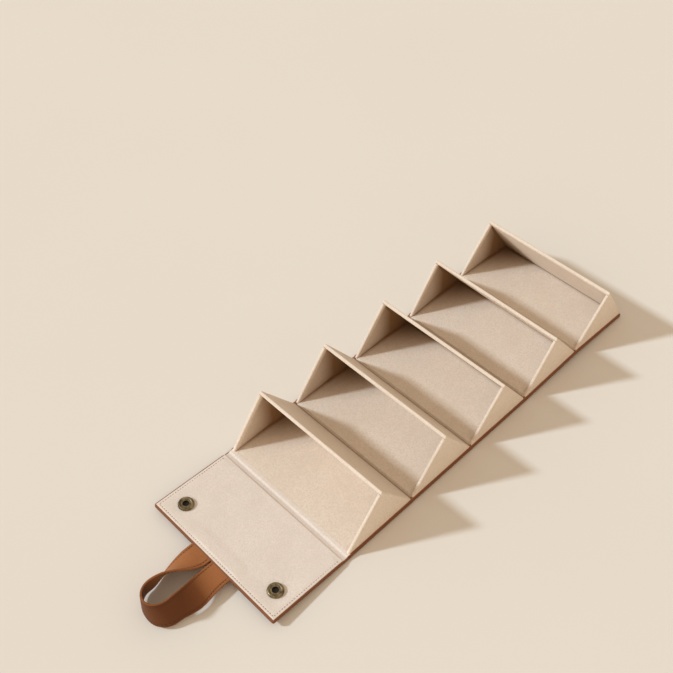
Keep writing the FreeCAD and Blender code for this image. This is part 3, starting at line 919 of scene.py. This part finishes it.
def inner_stitches(name):
    """The stitches of the flap's three sewn edges, where they show on its lining."""
    x = SHELL_HALF - STITCH_INSET
    low = FREE_EDGE + STITCH_INSET
    high = FLAP_CREASE - 1.6 * SETBACK
    z = BASE_TOP + INNER_STITCH
    rows = [((side * x, low, z), (side * x, high, z)) for side in (-1, 1)]
    rows.append(((-x, low, z), (x, low, z)))
    return sewn(name, rows, PALE_THREAD)


rest_on(inner_stitches("inner_stitches_flap"), "flap")


# Snaps

def snap_pair(name, profile, base, y, finish):
    """A turned piece for each of the two snaps, from radii and heights in millimetres above a base."""
    steps = [(radius * MM, base + height * MM) for radius, height in profile]
    pair = joined(name, [lathed(name, steps, (side * SNAP_X, y, 0)) for side in (-1, 1)])
    soften(pair, degrees=35)
    dress(pair, finish)
    return pair


def darken_hole(pair, y, radius):
    """Give the inside of each socket the painted shade."""
    pair.data.materials.append(HOLE_SHADE)
    for face in pair.data.polygons:
        away = Vector((abs(face.center.x) - SNAP_X, face.center.y - y)).length
        face.material_index = 1 if away < radius else 0


CAP_RIM = [(7.1, 0.3), (7.4, 0.0), (7.5, -0.35), (7.42, -0.75), (7.1, -1.15)]
CAP_DOME = [
    (7.1 * math.cos(angle), -1.15 - 1.85 * math.sin(angle))
    for angle in (0.25, 0.5, 0.75, 1.0, 1.2, 1.38, 1.5)]
caps = snap_pair("snap_cap_domes", CAP_RIM + CAP_DOME, 0.0, SNAP_Y, BRASS)
rest_on(caps, "flap")
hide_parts("snap_caps")

SOCKET_PROFILE = [
    (6.6, 0.0), (6.8, 0.35), (6.8, 1.0), (6.6, 1.6), (6.2, 2.05), (5.7, 2.28), (5.1, 2.25), (4.6, 1.95),
    (4.2, 1.75), (3.8, 1.85), (3.3, 2.1), (2.95, 2.05), (2.75, 1.8), (2.7, 0.5), (2.0, 0.4), (0.3, 0.4)]
SOCKET_HOLE = 2.72 * MM
sockets = snap_pair("snap_socket_rings", SOCKET_PROFILE, BASE_TOP, SNAP_Y, DARK_BRASS)
darken_hole(sockets, SNAP_Y, SOCKET_HOLE)
rest_on(sockets, "flap")
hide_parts("snap_sockets")

STUD_PROFILE = [
    (4.8, 0.0), (5.0, -0.2), (4.9, -0.45), (4.2, -0.55), (2.4, -0.6), (1.85, -0.85), (1.8, -1.15),
    (2.05, -1.5), (2.2, -1.8), (2.15, -2.2), (1.9, -2.48), (1.4, -2.6), (0.3, -2.6)]


def stud_place():
    """The studs' line on the unrolled strip."""
    middle = sum(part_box("snap_studs"), Vector()) / 2
    return (HOME["tray_5"].inverted() @ middle).y


studs = snap_pair("snap_stud_balls", STUD_PROFILE, 0.0, stud_place(), DARK_BRASS)
rest_on(studs, "tray_5")
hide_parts("snap_studs")


# Handle, a straight strap drawn along Y and then wrapped round its loop

def leg_frame(side, reach, rise):
    """Middle, width direction and face direction of a leg, left (-1) or right (1), beyond the swing line."""
    share = min(max((reach - LOOP_ROOT) / LEG, 0.0), 1.0)
    twist = LEG_TWIST[side] * smooth(share) ** LEG_EASE[side]
    face = Vector((side * math.sin(twist), 0, math.cos(twist)))
    top_start = STRAP_END_X - STRAP_WIDTH / 2
    top_end = LOOP_TURN - math.cos(LEG_TWIST[side]) * STRAP_WIDTH / 2
    sway = LEG_SWAY * math.sin(2 * math.pi * share) / (2 * math.pi)
    top_edge = top_start + (top_end - top_start) * (share - sway)
    x = top_edge + math.cos(twist) * STRAP_WIDTH / 2
    across = Vector((side * math.cos(twist), 0, -math.sin(twist)))
    return Vector((side * x, -reach, rise * smooth(share))), across, face


def swing_home():
    """From the handle's own frame, with the swing line as X, to where the handle rests."""
    return HOME["flap"] @ Matrix.Translation((0, FREE_EDGE - KNUCKLE, STRAP_HEIGHT))


def loop_rise():
    """How far the loop lifts so that the strap on edge clears the table."""
    rises = []
    steps = 12
    for step in range(1, steps + 1):
        share = step / steps
        for side in (-1, 1):
            middle, across, face = leg_frame(side, LOOP_ROOT + LEG * share, 0.0)
            half_height = abs(STRAP_WIDTH / 2 * across.z) + abs(STRAP / 2 * face.z)
            low = (swing_home() @ middle).z - half_height
            rises.append((LOOP_CLEAR - low) / smooth(share))
    return max(rises)


RISE = loop_rise()


def strap_frame(run):
    """Middle, width direction and face direction of the strap at a run along it from its left end."""
    reach = run - STRAP_INSIDE
    straight = LOOP_ROOT + LEG
    back = 2 * straight + TURN_LENGTH - reach
    if reach <= straight:
        return leg_frame(-1, reach, RISE)
    if back <= straight:
        return leg_frame(1, back, RISE)
    angle = math.pi * (reach - straight) / TURN_LENGTH
    outward = Vector((-math.cos(angle), -math.sin(angle), 0))
    from_legs = LEG_TWIST[-1] + (LEG_TWIST[1] - LEG_TWIST[-1]) * smooth(angle / math.pi)
    twist = from_legs + (END_TWIST - sum(LEG_TWIST.values()) / 2) * math.sin(angle) ** 2
    across = outward * math.cos(twist) - Vector((0, 0, math.sin(twist)))
    face = outward * math.sin(twist) + Vector((0, 0, math.cos(twist)))
    return Vector((0, -FAR_TURN, RISE)) + outward * LOOP_TURN, across, face


def wrap(piece):
    """Carry the straight strap's points on to the loop, and the loop to the flap's free edge."""
    home = swing_home()
    for vertex in piece.data.vertices:
        wide, run, out = vertex.co
        middle, across, face = strap_frame(run)
        vertex.co = home @ (middle + across * wide + face * out)


def hang_handle(piece):
    """Wrap a piece of the strap on to its loop at the flap's free edge, keeping its flat places."""
    keep_flat(piece)
    wrap(piece)
    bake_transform(piece)


def strap(name):
    """Two layers of leather sewn together, plump between the stitch rows."""
    half = STRAP_WIDTH / 2
    piece = block(name, (-half, half), (0, STRAP_LENGTH), (-STRAP / 2, STRAP / 2))
    round_off(piece, STRAP_ROUND, segments=3, test=lambda a, b: abs(a.y - b.y) > MM)
    slice_at(piece, [half * share for share in (-0.8, -0.68, -0.5, -0.2, 0.2, 0.5, 0.68, 0.8)], (1, 0, 0))
    cuts = 110
    slice_at(piece, [STRAP_LENGTH * cut / cuts for cut in range(1, cuts)])
    for vertex in piece.data.vertices:
        inset = half - abs(vertex.co.x)
        plump = smooth((inset - STRAP_STITCH_INSET) / (5 * MM))
        vertex.co.z *= STRAP_EDGE + STRAP_PLUMP * plump
    soften(piece, degrees=50)
    dress(piece, STRAP_LEATHER)
    return piece


def strap_stitches(name):
    """Two rows on each face of the strap."""
    x = STRAP_WIDTH / 2 - STRAP_STITCH_INSET
    z = STRAP / 2 * STRAP_EDGE
    low, high = STRAP_INSIDE, STRAP_LENGTH - STRAP_INSIDE
    rows = [((side * x, low, face * z), (side * x, high, face * z)) for side in (-1, 1) for face in (-1, 1)]
    return sewn(name, rows, THREAD)


handle = strap("handle_strap")
hang_handle(handle)
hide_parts("handle_loop", "handle_ends")
hang_handle(strap_stitches("handle_stitches"))


# What stays as drawn in the frame, inside the case
for name, node in frame["nodes"].items():
    if name.endswith("_board"):
        dress(node, BOARD)
    elif name == "snap_rivets":
        dress(node, BRASS)


# Floor, light and camera

def pale_floor(name):
    material, shader, start = new_finish(name, Specular_IOR_Level=0.2)
    cloud = object_places(start).noise(scale=3.0, detail=3)
    tone = cloud.mix(rgb(0.735, 0.675, 0.605), rgb(0.765, 0.71, 0.645))
    connect(shader, start, Base_Color=tone, Roughness=0.75 + cloud * 0.1)
    return material


FLOOR_SIZE = 12
FLOOR_DROP = 0.2 * MM
floor = begin("studio_floor", bpy.ops.mesh.primitive_plane_add, size=FLOOR_SIZE)
floor.data.transform(Matrix.Translation((0, 0, -FLOOR_DROP)))
dress(floor, pale_floor("cream_floor"))


WINDOW_SIDE = Vector((0.2, -0.9, 0.3))
GLOW = rgb(1.0, 0.835, 0.65)
BACKDROP = rgb(0.80, 0.73, 0.635)
CAMERA_RAY, GLOSSY_RAY, TRANSMISSION_RAY = 0, 3, 6


def soft_studio(name):
    """Warm light from all round, strongest from the window's side, in front of a plain cream backdrop."""
    made = bpy.data.worlds.new(name)
    made.use_nodes = True
    tree = made.node_tree
    start = Tone(tree)
    towards = start.node("ShaderNodeTexCoord", {})
    facing = start.node("ShaderNodeVectorMath", {0: towards, 1: WINDOW_SIDE.normalized()},
                        {"operation": "DOT_PRODUCT"}, out=1)
    low_down = 1 - part_of(towards, "Z").ramp(0.0, 0.9)
    strength = 0.60 + low_down * (0.20 + facing.ramp(-0.7, 1.0) * 0.62)
    camera_ray, glossy_ray, transmission_ray = (
        start.node("ShaderNodeLightPath", {}, out=ray) for ray in (CAMERA_RAY, GLOSSY_RAY, TRANSMISSION_RAY))
    seen = (camera_ray + glossy_ray + transmission_ray).least(1.0)
    glow = start.node("ShaderNodeBackground", {"Color": GLOW, "Strength": strength})
    backdrop = start.node("ShaderNodeBackground", {"Color": BACKDROP, "Strength": 1.0})
    both = start.node("ShaderNodeMixShader", {0: seen, 1: glow, 2: backdrop})
    tree.links.new(both.socket, tree.nodes["World Output"].inputs["Surface"])
    return made


bpy.context.scene.world = soft_studio("soft_studio")

SUN_TRAVEL = Vector((1.05, 1.1, -1.0))
SUN_STRENGTH = 2.65
SUN_COLOUR = (0.745, 0.885, 1.0)
SUN_SPREAD = math.radians(5)
sun = bpy.data.objects.new("window_light", bpy.data.lights.new("window_light", "SUN"))
sun.data.energy = SUN_STRENGTH
sun.data.angle = SUN_SPREAD
sun.data.color = SUN_COLOUR
sun.rotation_euler = SUN_TRAVEL.to_track_quat("-Z", "Y").to_euler()
bpy.context.scene.collection.objects.link(sun)

CAMERA_PLACE = Vector((0.336, -0.388, 0.686))
CAMERA_AZIMUTH = 45.26
CAMERA_ELEVATION = 48.0
FOCAL_PIXELS = 970.7
IMAGE_PIXELS = 673
SENSOR_WIDTH = 36
camera = bpy.data.objects.new("camera", bpy.data.cameras.new("camera"))
camera.location = CAMERA_PLACE
camera.rotation_euler = (math.radians(90 - CAMERA_ELEVATION), 0, math.radians(CAMERA_AZIMUTH))
camera.data.sensor_width = SENSOR_WIDTH
camera.data.lens = FOCAL_PIXELS / IMAGE_PIXELS * SENSOR_WIDTH
bpy.context.scene.collection.objects.link(camera)
bpy.context.scene.camera = camera

bpy.context.scene.view_settings.view_transform = "Standard"
